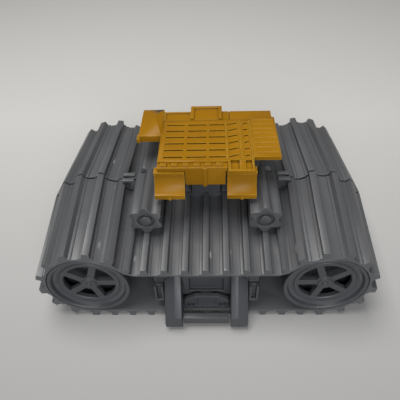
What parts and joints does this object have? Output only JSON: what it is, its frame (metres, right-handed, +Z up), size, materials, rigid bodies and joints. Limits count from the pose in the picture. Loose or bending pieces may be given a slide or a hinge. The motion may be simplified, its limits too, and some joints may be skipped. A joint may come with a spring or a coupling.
{
  "type": "tracked tank chassis",
  "caption": "Crawler chassis with two wide corrugated belts side by side, spoked wheels, star rollers over the sunken upper run, and a louvred upper hull on a centre web.",
  "frame": {"origin": "on the ground, under the middle of the wheelbase and of the seam between the belts", "axes": "+X along the direction of travel, +Y across the belts towards the far side, +Z up"},
  "size_m": [0.1804, 0.132, 0.0766],
  "materials": {
    "grey_plastic": "satin moulded",
    "dark_grey_plastic": "satin moulded",
    "gold_plastic": "satin moulded"
  },
  "bodies": {
    "chassis": {"near_belt": "grey_plastic", "far_belt": "grey_plastic", "near_side_beam": "dark_grey_plastic", "far_side_beam": "dark_grey_plastic", "near_arch_beam": "dark_grey_plastic", "far_arch_beam": "dark_grey_plastic", "near_cross_bar": "dark_grey_plastic", "far_cross_bar": "dark_grey_plastic", "near_left_post": "dark_grey_plastic", "near_right_post": "dark_grey_plastic", "far_left_post": "dark_grey_plastic", "far_right_post": "dark_grey_plastic", "near_left_strut": "grey_plastic", "near_right_strut": "grey_plastic", "far_left_strut": "grey_plastic", "far_right_strut": "grey_plastic", "centre_web": "dark_grey_plastic", "left_wheel_axle": "dark_grey_plastic", "right_wheel_axle": "dark_grey_plastic", "left_roller_axle": "dark_grey_plastic", "right_roller_axle": "dark_grey_plastic", "left_tie_rod": "dark_grey_plastic", "right_tie_rod": "dark_grey_plastic", "hull_core": "gold_plastic", "hull_deck": "gold_plastic", "hull_front_panel": "gold_plastic", "hull_left_fender": "gold_plastic", "hull_right_fender": "gold_plastic", "hull_side_wing": "gold_plastic", "hull_rear_strip": "gold_plastic", "hull_rear_frame": "gold_plastic", "hull_corner_box": "gold_plastic"},
    "near_left_wheel_set": {"near_left_wheel": "dark_grey_plastic", "near_left_sprocket_ring": "dark_grey_plastic", "near_left_wheel_spool": "dark_grey_plastic"},
    "near_right_wheel_set": {"near_right_wheel": "dark_grey_plastic", "near_right_sprocket_ring": "dark_grey_plastic", "near_right_wheel_spool": "dark_grey_plastic"},
    "far_left_wheel_set": {"far_left_wheel": "dark_grey_plastic", "far_left_sprocket_ring": "dark_grey_plastic", "far_left_wheel_spool": "dark_grey_plastic"},
    "far_right_wheel_set": {"far_right_wheel": "dark_grey_plastic", "far_right_sprocket_ring": "dark_grey_plastic", "far_right_wheel_spool": "dark_grey_plastic"},
    "near_left_roller": {"near_left_star_roller": "grey_plastic"},
    "near_right_roller": {"near_right_star_roller": "grey_plastic"},
    "far_left_roller": {"far_left_star_roller": "grey_plastic"},
    "far_right_roller": {"far_right_star_roller": "grey_plastic"},
    "near_left_road": {"near_left_road_wheel": "dark_grey_plastic"},
    "near_right_road": {"near_right_road_wheel": "dark_grey_plastic"},
    "far_left_road": {"far_left_road_wheel": "dark_grey_plastic"},
    "far_right_road": {"far_right_road_wheel": "dark_grey_plastic"}
  },
  "joints": [
    {"name": "near_left_wheel_spin", "type": "hinge", "parent": "chassis", "child": "near_left_wheel_set", "pos_m": [-0.06, -0.028, 0.0262], "axis": [0, 1, 0], "continuous": true},
    {"name": "near_right_wheel_spin", "type": "hinge", "parent": "chassis", "child": "near_right_wheel_set", "pos_m": [0.06, -0.028, 0.0262], "axis": [0, 1, 0], "continuous": true},
    {"name": "far_left_wheel_spin", "type": "hinge", "parent": "chassis", "child": "far_left_wheel_set", "pos_m": [-0.06, 0.028, 0.0262], "axis": [0, 1, 0], "continuous": true},
    {"name": "far_right_wheel_spin", "type": "hinge", "parent": "chassis", "child": "far_right_wheel_set", "pos_m": [0.06, 0.028, 0.0262], "axis": [0, 1, 0], "continuous": true},
    {"name": "near_left_roller_spin", "type": "hinge", "parent": "chassis", "child": "near_left_roller", "pos_m": [-0.0306, -0.016, 0.0492], "axis": [0, 1, 0], "continuous": true},
    {"name": "near_right_roller_spin", "type": "hinge", "parent": "chassis", "child": "near_right_roller", "pos_m": [0.0306, -0.016, 0.0492], "axis": [0, 1, 0], "continuous": true},
    {"name": "far_left_roller_spin", "type": "hinge", "parent": "chassis", "child": "far_left_roller", "pos_m": [-0.0306, 0.016, 0.0492], "axis": [0, 1, 0], "continuous": true},
    {"name": "far_right_roller_spin", "type": "hinge", "parent": "chassis", "child": "far_right_roller", "pos_m": [0.0306, 0.016, 0.0492], "axis": [0, 1, 0], "continuous": true},
    {"name": "near_left_road_spin", "type": "hinge", "parent": "chassis", "child": "near_left_road", "pos_m": [-0.0085, -0.0514, 0.0084], "axis": [0, 1, 0], "continuous": true},
    {"name": "near_right_road_spin", "type": "hinge", "parent": "chassis", "child": "near_right_road", "pos_m": [0.0085, -0.0514, 0.0084], "axis": [0, 1, 0], "continuous": true},
    {"name": "far_left_road_spin", "type": "hinge", "parent": "chassis", "child": "far_left_road", "pos_m": [-0.0085, 0.0514, 0.0084], "axis": [0, 1, 0], "continuous": true},
    {"name": "far_right_road_spin", "type": "hinge", "parent": "chassis", "child": "far_right_road", "pos_m": [0.0085, 0.0514, 0.0084], "axis": [0, 1, 0], "continuous": true}
  ],
  "couplings": [
    {"joint": "near_right_wheel_spin", "follows": "near_left_wheel_spin", "ratio": 1},
    {"joint": "far_right_wheel_spin", "follows": "far_left_wheel_spin", "ratio": 1},
    {"joint": "near_left_roller_spin", "follows": "near_left_wheel_spin", "ratio": -2.26},
    {"joint": "near_right_roller_spin", "follows": "near_left_wheel_spin", "ratio": -2.26},
    {"joint": "far_left_roller_spin", "follows": "far_left_wheel_spin", "ratio": -2.26},
    {"joint": "far_right_roller_spin", "follows": "far_left_wheel_spin", "ratio": -2.26},
    {"joint": "near_left_road_spin", "follows": "near_left_wheel_spin", "ratio": 6.636},
    {"joint": "near_right_road_spin", "follows": "near_left_wheel_spin", "ratio": 6.636},
    {"joint": "far_left_road_spin", "follows": "far_left_wheel_spin", "ratio": 6.636},
    {"joint": "far_right_road_spin", "follows": "far_left_wheel_spin", "ratio": 6.636}
  ]
}
